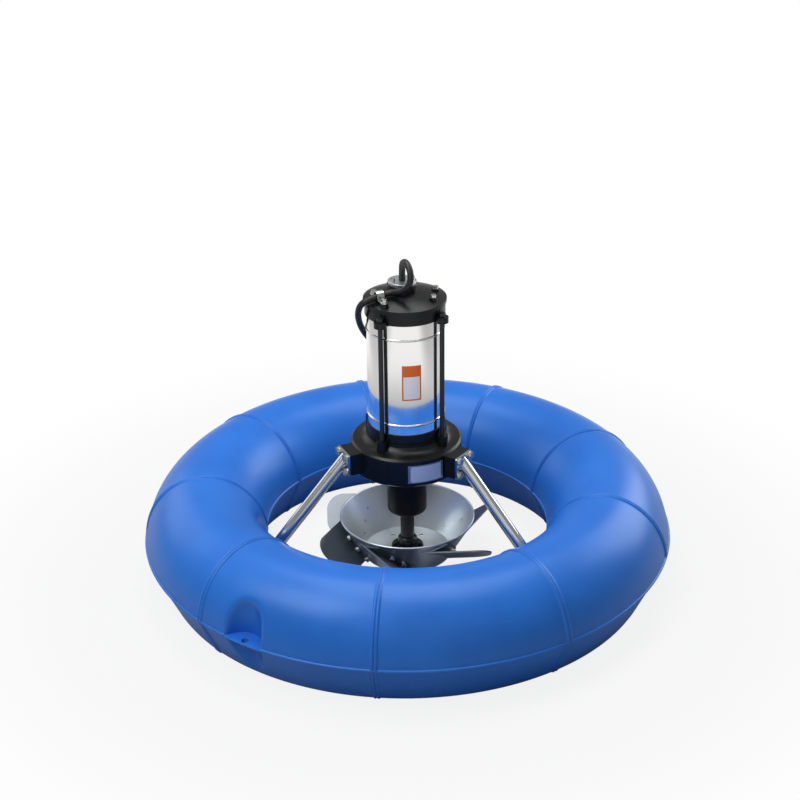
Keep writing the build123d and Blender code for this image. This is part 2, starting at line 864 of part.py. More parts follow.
def gland_bush():
    """The rubber bush in the neck; the cable starts on its top."""
    foot = neck_spot(neck_top_z - gland_bush_length)
    return upright(neck_bore_radius - seat_clearance, gland_bush_length, foot)


def clamp_frame():
    """A plane on the clamp's screw bosses, with x from one screw to the other."""
    (x1, y1), (x2, y2) = clamp_screw_places
    middle = Vector((x1 + x2) / 2, (y1 + y2) / 2, screw_boss_top_z)
    return Plane(origin=middle, x_dir=Vector(x2 - x1, y2 - y1, 0), z_dir=Vector(0, 0, 1))


def clamp_span():
    """The distance between the clamp's screws."""
    (x1, y1), (x2, y2) = clamp_screw_places
    return math.hypot(x2 - x1, y2 - y1)


def arch(radius, lift, width):
    """An upright-sided arch across the x direction, its round top on a centre at a lift."""
    round_top = Pos(0, 0, lift) * Rot(90, 0, 0) * Cylinder(radius, width)
    sides = Box(2 * radius, width, lift, align=UPRIGHT)
    return round_top.fuse(sides) & Box(4 * radius, 2 * width, 4 * radius + lift, align=UPRIGHT)


def cable_clamp():
    """The strap that holds the cable down on the cap."""
    lift = clamp_cable_z - screw_boss_top_z
    inner = cable_diameter / 2 + clamp_slack
    outer = inner + clamp_thickness
    tab = extrude(SlotCenterToCenter(clamp_span(), clamp_width), clamp_thickness)
    body = tab.fuse(arch(outer, lift, clamp_width)).cut(arch(inner, lift, 2 * clamp_width))
    hole = Cylinder(m6_radius + slip_clearance, 2 * clamp_hole_depth)
    holes = [Pos(side * clamp_span() / 2, 0, 0) * hole for side in (-1, 1)]
    return clamp_frame() * body.cut(*holes)


def cord_path(points, name):
    """Straight runs through the points with an arc at every corner."""
    places = [Vector(*p) for p in points]
    edges = []
    start = places[0]
    radii = []
    for before, corner, after in zip(places, places[1:], places[2:]):
        into = (corner - before).normalized()
        out = (after - corner).normalized()
        share = cable_bend_share * min((corner - before).length, (after - corner).length)
        half_turn = math.radians(into.get_angle(out)) / 2
        radii.append(share / math.tan(half_turn))
        arc_start = corner - into * share
        arc_end = corner + out * share
        edges.append(Edge.make_line(start, arc_start))
        edges.append(Edge.make_tangent_arc(arc_start, into, arc_end))
        start = arc_end
    edges.append(Edge.make_line(start, places[-1]))
    path = Wire(edges)
    print(name, "length", round(path.length), "radii", [round(r) for r in radii])
    return path


def cord(points, name):
    """A round cable along its route."""
    path = cord_path(points, name)
    first = Vector(*points[1]) - Vector(*points[0])
    section = Plane(origin=Vector(*points[0]), z_dir=first) * Circle(cable_diameter / 2)
    return sweep(section, path)


def coil_size():
    """Width and height of the coil's section."""
    return coil_turns_across * cable_diameter, coil_turns_high * cable_diameter


def cable_coil():
    """The coiled spare cable as one closed ring, resting on its ties."""
    width, height = coil_size()
    section = Plane.XZ * Pos(coil_mean_radius, tie_thickness + height / 2) * RectangleRounded(
        width, height, cable_diameter / 3
    )
    return Pos(*coil_centre) * revolve(section, Axis.Z)


def coil_ties():
    """The bands round the coil."""
    width, height = coil_size()
    outer = 2 * tie_thickness
    middle = Pos(coil_mean_radius, 0, tie_thickness + height / 2)
    band = middle * Box(width + outer, tie_width, height + outer)
    inside = middle * Box(width + slip_clearance, 2 * tie_width, height + 2 * seat_clearance)
    return group([Pos(*coil_centre) * turned(band - inside, a) for a in tie_azimuths])


def cable_cores():
    """The four bare cores at the cable's free end."""
    end = Vector(*tail_route[-1])
    out = (end - Vector(*tail_route[-2])).normalized()
    sideways = out.cross(Vector(0, 0, 1)).normalized()
    up = sideways.cross(out)
    cores = []
    for across, high in at_corners(wire_spacing, wire_spacing):
        spot = end + sideways * across + up * high
        fan = math.copysign(1, across) * (wire_fan + math.copysign(1, high) * wire_fan / 2)
        direction = out + sideways * math.tan(math.radians(fan))
        frame = Plane(origin=spot, z_dir=direction)
        cores.append(frame * Cylinder(wire_radius, wire_length, align=UPRIGHT))
    return group(cores)


def curved_plate(radius, thickness, width, height, azimuth, z):
    """A thin plate wrapped on a drum, standing off its face by a thin layer of glue."""
    turn = math.degrees(width / radius)
    inner = radius + plate_clearance
    section = Plane.XZ * Pos(inner + thickness / 2, z) * Rectangle(thickness, height)
    return turned(revolve(section, Axis.Z, turn), azimuth - turn / 2)


def rivet_length():
    """How deep a rivet reaches behind the nameplate."""
    return 4 * rivet_radius


def rivet_frames(distance):
    """Planes at the nameplate's four rivets, facing out of the drum."""
    inset = 2 * nameplate_rivet_inset
    frames = []
    for across, up in at_corners(nameplate_width - inset, nameplate_height - inset):
        azimuth = nameplate_azimuth + math.degrees(across / base_radius)
        spot = polar(distance, azimuth, nameplate_z + up)
        frames.append(Plane(origin=spot, z_dir=polar(1, azimuth)))
    return frames


def nameplate():
    """The blank plate on the drum."""
    plate = curved_plate(
        base_radius,
        nameplate_thickness,
        nameplate_width,
        nameplate_height,
        nameplate_azimuth,
        nameplate_z,
    )
    hole = Cylinder(rivet_radius + seat_clearance, 4 * rivet_radius)
    return plate.cut(*[frame * hole for frame in rivet_frames(base_radius)])


def nameplate_rivets():
    """The four rivets of the nameplate."""
    stem = Cylinder(rivet_radius, 2 * rivet_length())
    flat = Cylinder(1.6 * rivet_radius, rivet_head, align=UPRIGHT)
    stem = stem & Box(9, 9, 2 * rivet_length(), align=HANGING)
    seat = base_radius + nameplate_thickness + 2 * plate_clearance
    return group([frame * stem.fuse(flat) for frame in rivet_frames(seat)])


def shell_label():
    """The blank sticker on the shell."""
    return curved_plate(shell_radius, label_thickness, label_width, label_height, label_azimuth, label_z)


def stator_core():
    """The laminated stack in the shell."""
    outer = shell_radius - shell_wall - seat_clearance
    return ring(stator_bore, outer, stator_bottom_z, stator_bottom_z + stator_length)


def end_winding(bottom):
    """A ring of winding ends on the stack."""
    return ring(winding_inner, winding_outer, bottom, bottom + winding_height)


def rotor_core():
    """The rotor's stack on the shaft."""
    bottom = stator_bottom_z - rotor_overhang
    top = stator_bottom_z + stator_length + rotor_overhang
    return ring(rotor_seat_radius + seat_clearance, stator_bore - air_gap, bottom, top)


def shaft():
    """The stepped shaft from the impeller's nut to the upper bearing."""
    return revolved(
        [
            (0, shaft_end_z),
            (shaft_thread_radius, shaft_end_z),
            (shaft_thread_radius, bowl_floor_z),
            (shaft_hub_radius, bowl_floor_z),
            (shaft_hub_radius, hub_top_z),
            (shaft_radius, hub_top_z),
            (shaft_radius, lower_bearing_z),
            (lower_bearing_bore, lower_bearing_z),
            (lower_bearing_bore, lower_bearing_z + lower_bearing_width),
            (rotor_seat_radius, lower_bearing_z + lower_bearing_width),
            (rotor_seat_radius, upper_bearing_z),
            (upper_bearing_bore, upper_bearing_z),
            (upper_bearing_bore, shaft_top_z),
            (0, shaft_top_z),
        ]
    )


def inner_race(bore, bottom, width):
    """A bearing's inner race."""
    return ring(bore + seat_clearance, bore + race_thickness, bottom, bottom + width)


def outer_race(bore, radius, bottom, width):
    """A bearing's outer race with a shield on each side, running close to the inner race."""
    race = ring(radius - race_thickness, radius, bottom, bottom + width)
    reach = bore + race_thickness + running_clearance
    places = (bottom, bottom + width - bearing_shield)
    shields = [ring(reach, radius - 1, z, z + bearing_shield) for z in places]
    return race.fuse(*shields)


def seal_seat():
    """The fixed seal ring in the seal housing."""
    bottom = seal_housing_bottom_z + seal_wall
    return ring(
        shaft_radius + shaft_room,
        seal_pocket_radius - seat_clearance,
        bottom,
        bottom + seal_seat_thickness,
    )


def seal_rotor():
    """The seal ring that turns with the shaft."""
    bottom = seal_housing_bottom_z + seal_wall + seal_seat_thickness + running_clearance
    inner = shaft_radius + seat_clearance
    return ring(inner, shaft_radius + seal_ring_wall, bottom, bottom + seal_ring_length)


def cone_radius(z):
    """Radius of the bowl's outside at a height."""
    share = (z - bowl_floor_z) / (bowl_rim_z - bowl_floor_z)
    return bowl_floor_radius + (bowl_rim_radius - bowl_floor_radius) * share


def cone_slope():
    """The bowl wall's outward lean from upright, in radians."""
    return math.atan2(bowl_rim_radius - bowl_floor_radius, bowl_rim_z - bowl_floor_z)


def cone(offset):
    """The solid inside the bowl's outer face moved out by an offset, longer than the bowl."""
    grow = offset / math.cos(cone_slope())
    low = -20
    high = 2 * bowl_rim_z
    return revolved([(0, low), (cone_radius(low) + grow, low), (cone_radius(high) + grow, high), (0, high)])


def drilling(radius, circle, count):
    """Upright drillings through the bowl's floor."""
    hole = Cylinder(radius, 8 * bowl_wall)
    return [Pos(*polar(circle, a, bowl_floor_z)) * hole for a in even_azimuths(count)]


def impeller_bowl():
    """The cone-shaped bowl with a rolled rim, drain holes and bolt holes."""
    step = bowl_wall / math.cos(cone_slope())
    low = cone_radius(bowl_floor_z + bowl_wall) - step
    body = revolved(
        [
            (shaft_hub_radius + seat_clearance, bowl_floor_z),
            (bowl_floor_radius, bowl_floor_z),
            (bowl_rim_radius, bowl_rim_z),
            (bowl_rim_radius - step, bowl_rim_z),
            (low, bowl_floor_z + bowl_wall),
            (shaft_hub_radius + seat_clearance, bowl_floor_z + bowl_wall),
        ]
    )
    body = body.fuse(Pos(0, 0, bowl_rim_z) * Torus(bowl_rim_radius - step / 2, bowl_rim_bead))
    cuts = drilling(drain_hole_radius, drain_hole_circle, drain_hole_count)
    cuts += drilling(m6_radius + slip_clearance, hub_bolt_circle, hub_bolt_count)
    cuts += [hole for number in range(blade_count) for hole in tab_bolt_holes(number)]
    return body.cut(*cuts)


def impeller_hub():
    """The flanged hub between the bowl and the shaft."""
    bottom = bowl_floor_z + bowl_wall
    flange_top = bottom + hub_flange_thickness
    body = revolved(
        [
            (shaft_hub_radius + seat_clearance, bottom),
            (hub_flange_radius, bottom),
            (hub_flange_radius, flange_top),
            (hub_boss_radius, flange_top),
            (hub_boss_radius, hub_top_z - hub_edge),
            (hub_boss_radius - hub_edge, hub_top_z),
            (shaft_hub_radius + seat_clearance, hub_top_z),
        ]
    )
    hole = Cylinder(m6_radius + slip_clearance, 4 * hub_flange_thickness)
    spots = [polar(hub_bolt_circle, a, bottom) for a in even_azimuths(hub_bolt_count)]
    return body.cut(*[Pos(*s) * hole for s in spots])


def hub_bolts():
    """Bolts and nuts that clamp the bowl to the hub."""
    top = bowl_floor_z + bowl_wall + hub_flange_thickness
    grip = top - bowl_floor_z
    screw = bolt(m6_radius, grip, 2.4 * nut_per_radius * m6_radius)
    pieces = []
    for azimuth in even_azimuths(hub_bolt_count):
        pieces.append(Pos(*polar(hub_bolt_circle, azimuth, top)) * screw)
        pieces.append(Pos(*polar(hub_bolt_circle, azimuth, bowl_floor_z)) * nut(m6_radius))
    return group(pieces)


def impeller_washer():
    """The washer under the bowl's floor."""
    inner = shaft_thread_radius + slip_clearance
    return ring(inner, 2 * shaft_thread_radius, bowl_floor_z - 2, bowl_floor_z)


def impeller_nut():
    """The nut that holds the impeller on the shaft."""
    bottom = bowl_floor_z - 2 - impeller_nut_height
    body = Pos(0, 0, bottom) * hexagon(shaft_thread_radius, impeller_nut_height)
    return body - Cylinder(shaft_thread_radius + seat_clearance, 4 * bowl_floor_z)


def blade_frame(number):
    """The plane of a blade: x along its level line, y up its slope, z to its underside."""
    azimuth = blade_first_azimuth + number * 360 / blade_count
    sweep_angle = azimuth + blade_sweep
    lean = math.radians(blade_lean)
    level = polar(1, sweep_angle)
    outward = polar(math.sin(lean), sweep_angle - 90)
    slope = outward + Vector(0, 0, math.cos(lean))
    origin = polar(blade_root_radius, azimuth, blade_root_z)
    return Plane(origin=origin, x_dir=level, z_dir=level.cross(slope))


def blade(number):
    """A rounded plate that meets the bowl's outside, with a bent tab bolted to the bowl."""
    frame = blade_frame(number)
    middle = Pos((blade_length - blade_inner_reach) / 2, -blade_width / 2, 0)
    outline = RectangleRounded(blade_length + blade_inner_reach, blade_width, blade_corner_radius)
    plate = frame * (middle * extrude(outline, blade_thickness / 2, both=True))
    plate = plate.cut(cone(seat_clearance))
    plate = plate.solids().sort_by(SortBy.VOLUME)[-1]
    strip = frame * (
        Pos(0, 0, blade_thickness / 2)
        * Box(
            blade_length,
            blade_tab_length,
            tab_width + blade_thickness,
            align=(Align.MIN, Align.MAX, Align.MAX),
        )
    )
    tab = (strip & cone(seat_clearance + tab_thickness)).cut(cone(seat_clearance))
    tab = tab.solids().sort_by(SortBy.VOLUME)[-1]
    return plate.fuse(tab).cut(*tab_bolt_holes(number))


def tab_bolt_holes(number):
    """Short drillings at a blade's tab bolts, through the tab and the bowl's wall."""
    hole = Cylinder(m6_radius + slip_clearance, 4 * bowl_wall)
    return [frame * hole for frame in tab_bolt_frames(number, 0)]


def tab_bolt_frames(number, offset):
    """Planes at a blade's tab bolts, facing out of the bowl, at an offset from its outer face."""
    frame = blade_frame(number)
    side = frame.z_dir
    azimuth_of_side = math.degrees(math.atan2(side.Y, side.X))
    level = math.hypot(side.X, side.Y)
    wanted = frame.origin.dot(side) - blade_thickness / 2 - tab_bolt_offset
    root_azimuth = blade_first_azimuth + number * 360 / blade_count
    slope = cone_slope()
    frames = []
    for z in tab_bolt_heights:
        share = (wanted - z * side.Z) / (level * cone_radius(z))
        swing = math.degrees(math.acos(share))
        choices = [azimuth_of_side + swing, azimuth_of_side - swing]
        azimuth = min(choices, key=lambda a: abs((a - root_azimuth + 180) % 360 - 180))
        normal = polar(math.cos(slope), azimuth) - Vector(0, 0, math.sin(slope))
        spot = polar(cone_radius(z), azimuth, z) + normal * offset
        frames.append(Plane(origin=spot, z_dir=normal))
    return frames


def blade_bolts():
    """Three studs on each blade's tab, each with its washer and nut outside, flush inside the bowl."""
    lift = tab_thickness + seat_clearance + washer_lift / 2
    stud = bolt(m6_radius, lift + bowl_wall, 0)
    frames = [f for number in range(blade_count) for f in tab_bolt_frames(number, lift)]
    return group([frame * stud for frame in frames])


def all_nodes():
    """Every node by name."""
    lower = (lower_bearing_bore, lower_bearing_radius, lower_bearing_z, lower_bearing_width)
    upper = (upper_bearing_bore, upper_bearing_radius, upper_bearing_z, upper_bearing_width)
    nodes = {
        "float_ring": float_ring(),
        "float_plug": float_plug(),
        "head_plate_bolts": head_bolts(),
        "foot_bolts": foot_bolts(),
        "foot_nuts": foot_nuts(),
        "base_housing": base_housing(),
        "seal_housing": seal_housing(),
        "seal_housing_screws": seal_housing_screws(),
        "motor_shell": motor_shell(),
        "shell_gasket_lower": shell_gasket_lower(),
        "shell_gasket_upper": shell_gasket_upper(),
        "upper_end_shield": upper_end_shield(),
        "top_cap": top_cap(),
        "cap_screws": cap_screws(),
        "tie_rods": tie_rods(),
        "tie_rod_nuts": tie_rod_nuts(),
        "gland_plate": gland_plate(),
        "gland_screws": gland_screws(),
        "gland_bush": gland_bush(),
        "cable_clamp": cable_clamp(),
        "cable": cord(cable_route, "cable"),
        "cable_coil": cable_coil(),
        "coil_ties": coil_ties(),
        "cable_tail": cord(tail_route, "tail"),
        "cable_cores": cable_cores(),
        "nameplate": nameplate(),
        "nameplate_rivets": nameplate_rivets(),
        "shell_label": shell_label(),
        "stator_core": stator_core(),
        "lower_end_winding": end_winding(stator_bottom_z - winding_height),
        "upper_end_winding": end_winding(stator_bottom_z + stator_length),
        "lower_bearing_outer_race": outer_race(*lower),
        "lower_bearing_inner_race": inner_race(lower[0], lower[2], lower[3]),
        "upper_bearing_outer_race": outer_race(*upper),
        "upper_bearing_inner_race": inner_race(upper[0], upper[2], upper[3]),
        "seal_seat": seal_seat(),
        "seal_rotor": seal_rotor(),
        "shaft": shaft(),
        "rotor_core": rotor_core(),
        "impeller_hub": impeller_hub(),
        "impeller_bowl": impeller_bowl(),
        "blade_bolts": blade_bolts(),
        "hub_bolts": hub_bolts(),
        "impeller_nut": impeller_nut(),
        "impeller_washer": impeller_washer(),
    }
    for name, azimuth in zip(arm_names, arm_azimuths):
        nodes["arm_tube_" + name] = arm_tube(azimuth)
        nodes["arm_head_plate_" + name] = head_plate(azimuth)
        nodes["arm_foot_" + name] = arm_foot(azimuth)
    for number in range(blade_count):
        nodes["impeller_blade_" + str(number + 1)] = blade(number)
    return nodes


def main():
    """Build every node and write it to its file."""
    os.makedirs("parts", exist_ok=True)
    for name, shape in all_nodes().items():
        export_step(shape, "parts/" + name + ".step")


main()
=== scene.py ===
# Surge aerator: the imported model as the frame, dressed with moulded, polished and cast surfaces.
# Metres, origin on the floor under the centre of the float ring, +Z up along the motor's shaft.
import bpy
import json
import math
import numpy as np
from mathutils import Matrix, Vector


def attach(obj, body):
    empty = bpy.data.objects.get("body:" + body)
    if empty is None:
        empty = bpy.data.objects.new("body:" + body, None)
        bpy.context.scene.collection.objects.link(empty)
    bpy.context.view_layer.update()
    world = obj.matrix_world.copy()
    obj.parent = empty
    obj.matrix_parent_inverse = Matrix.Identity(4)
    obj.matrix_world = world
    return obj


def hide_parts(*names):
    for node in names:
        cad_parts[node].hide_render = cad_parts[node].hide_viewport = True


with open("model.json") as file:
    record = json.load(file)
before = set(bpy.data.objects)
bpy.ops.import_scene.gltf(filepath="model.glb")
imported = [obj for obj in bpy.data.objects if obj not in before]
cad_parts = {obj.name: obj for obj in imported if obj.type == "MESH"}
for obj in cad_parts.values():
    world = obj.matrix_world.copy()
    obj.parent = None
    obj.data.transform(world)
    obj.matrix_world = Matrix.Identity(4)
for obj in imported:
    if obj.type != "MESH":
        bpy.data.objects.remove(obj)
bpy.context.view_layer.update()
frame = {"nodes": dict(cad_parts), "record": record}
nodes = frame["nodes"]
MM = 0.001

# Camera: the photograph's viewing angle, from a fit to the ring's outlines
ELEVATION = math.radians(25.7786)
ROLL = math.radians(-0.746)
CAMERA_BACK = 3.4601
CAMERA_ASIDE = 0.01663
CAMERA_UP = 0.3405
LENS_MM = 72.10
SENSOR_MM = 36

camera_data = bpy.data.cameras.new("camera")
camera = bpy.data.objects.new("camera", camera_data)
bpy.context.scene.collection.objects.link(camera)
back = Vector((0, -math.cos(ELEVATION), math.sin(ELEVATION)))
level = Vector((1, 0, 0))
upward = Vector((0, math.sin(ELEVATION), math.cos(ELEVATION)))
side = level * math.cos(ROLL) + upward * math.sin(ROLL)
top = upward * math.cos(ROLL) - level * math.sin(ROLL)
place = back * CAMERA_BACK - side * CAMERA_ASIDE + top * CAMERA_UP
camera.matrix_world = Matrix(
    [[side[i], top[i], back[i], place[i]] for i in range(3)] + [[0, 0, 0, 1]]
)
camera_data.sensor_width = SENSOR_MM
camera_data.lens = LENS_MM
camera_data.clip_start = 0.05
camera_data.clip_end = 60
bpy.context.scene.camera = camera
bpy.context.scene.view_settings.view_transform = "Standard"


def polar(radius, azimuth, height):
    """The point at a radius and azimuth (degrees from +X) from the motor's axis."""
    angle = math.radians(azimuth)
    return Vector((radius * math.cos(angle), radius * math.sin(angle), height))


# Materials
def linear(hex_colour):
    """An sRGB hex colour as linear RGBA: c/12.92 below 0.04045, else ((c+0.055)/1.055)^2.4."""
    sent = [int(hex_colour[i:i + 2], 16) / 255 for i in (1, 3, 5)]
    return tuple(c / 12.92 if c <= 0.04045 else ((c + 0.055) / 1.055) ** 2.4 for c in sent) + (1,)


def add(tree, kind, inputs=None, **settings):
    """Adds a node with its settings; an input is a value, or a socket to link from."""
    node = tree.nodes.new(kind)
    for name, value in settings.items():
        setattr(node, name, value)
    for name, value in (inputs or {}).items():
        if isinstance(value, bpy.types.NodeSocket):
            tree.links.new(value, node.inputs[name])
        else:
            node.inputs[name].default_value = value
    return node


def material(name, colour, roughness, metallic=0.0, **sockets):
    """A material on the Principled shader, with uniform values set on its own sockets."""
    made = bpy.data.materials.new(name)
    made.use_nodes = True
    shader = made.node_tree.nodes["Principled BSDF"]
    shader.inputs["Base Color"].default_value = linear(colour)
    shader.inputs["Roughness"].default_value = roughness
    shader.inputs["Metallic"].default_value = metallic
    for socket, value in sockets.items():
        shader.inputs[socket.replace("_", " ")].default_value = value
    return made


def colour_by(made, factor, places, colours):
    """Colours a material by a factor: the first colour up to the first place, the second from the
    second place on, and a straight blend between them."""
    tree = made.node_tree
    blend = add(tree, "ShaderNodeValToRGB", {"Fac": factor})
    for stop, position, colour in zip(blend.color_ramp.elements, places, colours):
        stop.position = position
        stop.color = linear(colour)
    tree.links.new(blend.outputs["Color"], tree.nodes["Principled BSDF"].inputs["Base Color"])


def pattern(made, size, detail=3.0, places=None, colours=None, gloss=None, relief=None):
    """Noise on Object coordinates, its blotches of one size in metres, or of three along X, Y and
    Z. It blends two colours, moves the roughness between two values, or drives the normal as a
    height field of a depth in metres and a strength, each where that is given."""
    tree = made.node_tree
    shader = tree.nodes["Principled BSDF"]
    spot = add(tree, "ShaderNodeTexCoord").outputs["Object"]
    cells_per_metre = tuple(float(1 / length) for length in np.broadcast_to(size, 3))
    cells = add(tree, "ShaderNodeMapping", {"Vector": spot, "Scale": cells_per_metre})
    inputs = {"Vector": cells.outputs["Vector"], "Scale": 1.0, "Detail": detail}
    field = add(tree, "ShaderNodeTexNoise", inputs).outputs["Fac"]
    if colours:
        colour_by(made, field, places, colours)
    if gloss:
        inputs = {"Value": field, "To Min": gloss[0], "To Max": gloss[1]}
        spread = add(tree, "ShaderNodeMapRange", inputs)
        tree.links.new(spread.outputs["Result"], shader.inputs["Roughness"])
    if relief:
        inputs = {"Height": field, "Distance": relief[0], "Strength": relief[1]}
        bump = add(tree, "ShaderNodeBump", inputs)
        tree.links.new(bump.outputs["Normal"], shader.inputs["Normal"])


def moulded_polyethylene():
    """Rotomoulded polyethylene: waxy blue with a soft gloss and a faint orange-peel skin. Powder
    melts unevenly, so the colour drifts over 120 mm and the gloss over 200 mm. The skin's real
    dimples, 2 to 3 mm wide, are too fine to show and are drawn 12 mm wide."""
    made = material("rotomoulded polyethylene", "#2970d2", 0.35, Specular_Tint=linear("#c4e0ff"))
    pattern(made, 120 * MM, 2.0, places=(0.3, 0.7), colours=("#246bcb", "#2a74d6"))
    pattern(made, 200 * MM, 1.0, gloss=(0.32, 0.38))
    pattern(made, 12 * MM, 1.0, relief=(0.12 * MM, 0.2))
    return made


def polished_stainless():
    """Polished stainless sheet: a near mirror with fine rolling marks round the tube. The real
    marks are under 0.1 mm apart and are drawn 0.8 mm apart, so that they show."""
    made = material("polished stainless steel", "#efeeec", 0.07, 1.0)
    pattern(made, (83.333 * MM, 83.333 * MM, 0.83333 * MM), 2.0, gloss=(0.045, 0.10))
    return made


def brushed_stainless(name, colour, gloss, size):
    """Brushed stainless: a soft metal sheen, cloudy where the belt pressed harder or lighter. The
    real scratches, about 0.1 mm apart, are too fine to show and are drawn at the size given."""
    made = material(name, colour, sum(gloss) / 2, 1.0)
    pattern(made, size, 4.0, gloss=gloss, relief=(0.03 * MM, 0.3))
    return made


def stoved_black():
    """Stoved black paint on a casting: satin, with the sand's grain of 2.5 mm showing through, and
    paint that flowed a little thicker and glossier in patches of 6 to 20 mm."""
    made = material("black paint on cast iron", "#0b0c0e", 0.30, Specular_IOR_Level=0.3)
    pattern(made, 20 * MM, places=(0.35, 0.65), colours=("#0b0c0e", "#131417"))
    pattern(made, 6 * MM, gloss=(0.24, 0.38))
    pattern(made, 2.5 * MM, 4.0, relief=(0.25 * MM, 0.5))
    return made


def rubber_sheath():
    """Extruded chloroprene: dull black with a slight sheen, handled shiny in spots of 4 mm, and
    with the extruder's grain, 1.6 mm wide instead of the real 0.3 mm, so that it shows."""
    made = material("chloroprene rubber sheath", "#141416", 0.48)
    pattern(made, 4 * MM, gloss=(0.40, 0.55))
    pattern(made, 1.6 * MM, relief=(0.08 * MM, 0.4))
    return made


def plain(name, colour, roughness, metallic=0.0):
    """A plain finish whose gloss and surface vary a little with its grit, drawn 2 mm wide, because
    the real grit is too fine to show."""
    made = material(name, colour, roughness, metallic)
    pattern(made, 2 * MM, gloss=(roughness * 0.85, roughness * 1.2), relief=(0.05 * MM, 0.3))
    return made


def plate_panel(name, azimuth, height, half_width, half_height, edge, header, mark_colour,
                panel_colour, roughness, metallic):
    """A blank plate or sticker: a border of one colour all round, a header band at its top in the
    same colour and a plain panel. Each is a step in the plate's own sideways and upright places,
    which are the object coordinates turned by its azimuth."""
    made = material(name, panel_colour, roughness, metallic)
    tree = made.node_tree
    angle = math.radians(azimuth)
    spot = add(tree, "ShaderNodeTexCoord").outputs["Object"]
    inputs = {0: spot, 1: (-math.sin(angle), math.cos(angle), 0)}
    across = add(tree, "ShaderNodeVectorMath", inputs, operation="DOT_PRODUCT").outputs["Value"]
    inputs = {0: spot, 1: (0, 0, 1)}
    above = add(tree, "ShaderNodeVectorMath", inputs, operation="DOT_PRODUCT").outputs["Value"]
    up = add(tree, "ShaderNodeMath", {0: above, 1: height}, operation="SUBTRACT").outputs[0]
    inputs = {0: up, 1: half_height - header}
    mark = add(tree, "ShaderNodeMath", inputs, operation="GREATER_THAN").outputs[0]
    for along, limit in ((across, half_width - edge), (up, half_height - edge)):
        far = add(tree, "ShaderNodeMath", {0: along}, operation="ABSOLUTE").outputs[0]
        over = add(tree, "ShaderNodeMath", {0: far, 1: limit}, operation="GREATER_THAN").outputs[0]
        mark = add(tree, "ShaderNodeMath", {0: mark, 1: over}, operation="MAXIMUM").outputs[0]
    colour_by(made, mark, (0.45, 0.55), (panel_colour, mark_colour))
    return made


# Drawn tube: bright, with long soft reflections
arm_steel = brushed_stainless("brushed stainless tube", "#d0d1d2", (0.09, 0.18), 25 * MM)
# Spun on a lathe: grooves round the bowl, which spread its reflections up and down
bowl_steel = brushed_stainless(
    "spun stainless sheet", "#cdd4d9", (0.26, 0.40), (33.333 * MM, 33.333 * MM, 1.1111 * MM)
)
# Cut from mill-finish plate: darker and duller than the bowl
blade_steel = brushed_stainless("cut stainless plate", "#8d949a", (0.38, 0.54), 16.667 * MM)
# Anodised sheet: a cool matt panel with a blue-grey border
name_plate = plate_panel(
    "anodised aluminium",
    azimuth=290,
    height=0.265,
    half_width=0.035,
    half_height=0.020,
    edge=0.0022,
    header=0.0022,
    mark_colour="#7385a6",
    panel_colour="#dbe3ef",
    roughness=0.42,
    metallic=0.3,
)
# Metallised film: a pale, slightly silvery panel with an orange border and header
label_film = plate_panel(
    "polyester label film",
    azimuth=278.5,
    height=0.452,
    half_width=0.0195,
    half_height=0.038,
    edge=0.003,
    header=0.024,
    mark_colour="#f0702c",
    panel_colour="#fcf8f2",
    roughness=0.34,
    metallic=0.5,
)
float_blue = moulded_polyethylene()
sheath = rubber_sheath()
# Blackened by hot oxide: nearly black, with the sheen of oiled steel
dark_steel = plain("blackened steel", "#1a1c1f", 0.38)

finish_of = {
    "float_plastic": float_blue,
    "arm_steel": arm_steel,
    "black_paint": stoved_black(),
    "polished_steel": polished_stainless(),
    "bowl_steel": bowl_steel,
    "blade_steel": blade_steel,
    "cable_rubber": sheath,
    "plate_aluminium": name_plate,
    "label_film": label_film,
    "dark_steel": dark_steel,
    # Injection moulded in a darker batch than the float, with a smoother skin
    "plug_plastic": plain("moulded polyethylene plug", "#1d4190", 0.4),
    # Bright zinc: light, slightly warm grey, with small sharp highlights
    "fastener_steel": plain("zinc-plated steel", "#c9c8c4", 0.24, 1.0),
    # Ground to size: cleaner and brighter than the turned parts round it
    "bearing_steel": plain("ground bearing steel", "#b4b6b8", 0.22, 1.0),
    # Moulded sheet rubber: dull black without a highlight
    "gasket_rubber": plain("nitrile rubber", "#121214", 0.6),
    # Moulded nylon: black with a weak, broad highlight
    "tie_plastic": plain("black nylon", "#17181a", 0.5),
    # Extruded PVC: brown with a slight gloss
    "core_insulation": plain("PVC core insulation", "#7a4a22", 0.42),
    # A stack of varnished sheets: dull brown-grey metal
    "core_laminations": plain("varnished laminations", "#4a4643", 0.5, 0.6),
    # Baked resin over copper: red-brown with a metal glow
    "winding_copper": plain("enamelled copper wire", "#8a4b22", 0.4, 0.8),
    # Lapped carbide: dark grey, smooth
    "seal_ceramic": plain("silicon carbide", "#3a3b3e", 0.28),
}
# Pieces whose finish isn't their slot's: a cast plate's zinc is duller than a bolt's
own_finish = {
    "gland_plate": plain("zinc-plated cast plate", "#c4c6c8", 0.36, 1.0),
    "hub_bolts": dark_steel,
}


def finish(piece, made):
    """Gives a piece one material."""
    piece.data.materials.clear()
    piece.data.materials.append(made)


# The solid model's nodes: shaded smooth, and split at edges sharper than these degrees. The two
# named ones have round edges of few faces.
WELD_DISTANCE = 0.01 * MM
SHARP_EDGE = 28
ROUND_EDGE = 44
for part in frame["record"]["subparts"]:
    node = nodes[part["node"]]
    finish(node, own_finish.get(part["node"], finish_of[part["material_slot"]]))
    node.data.polygons.foreach_set("use_smooth", np.ones(len(node.data.polygons), bool))
    weld = node.modifiers.new("weld", "WELD")
    weld.merge_threshold = WELD_DISTANCE
    split = node.modifiers.new("edges", "EDGE_SPLIT")
    few_faces = part["node"] in ("motor_shell", "cable_clamp")
    split.split_angle = math.radians(ROUND_EDGE if few_faces else SHARP_EDGE)

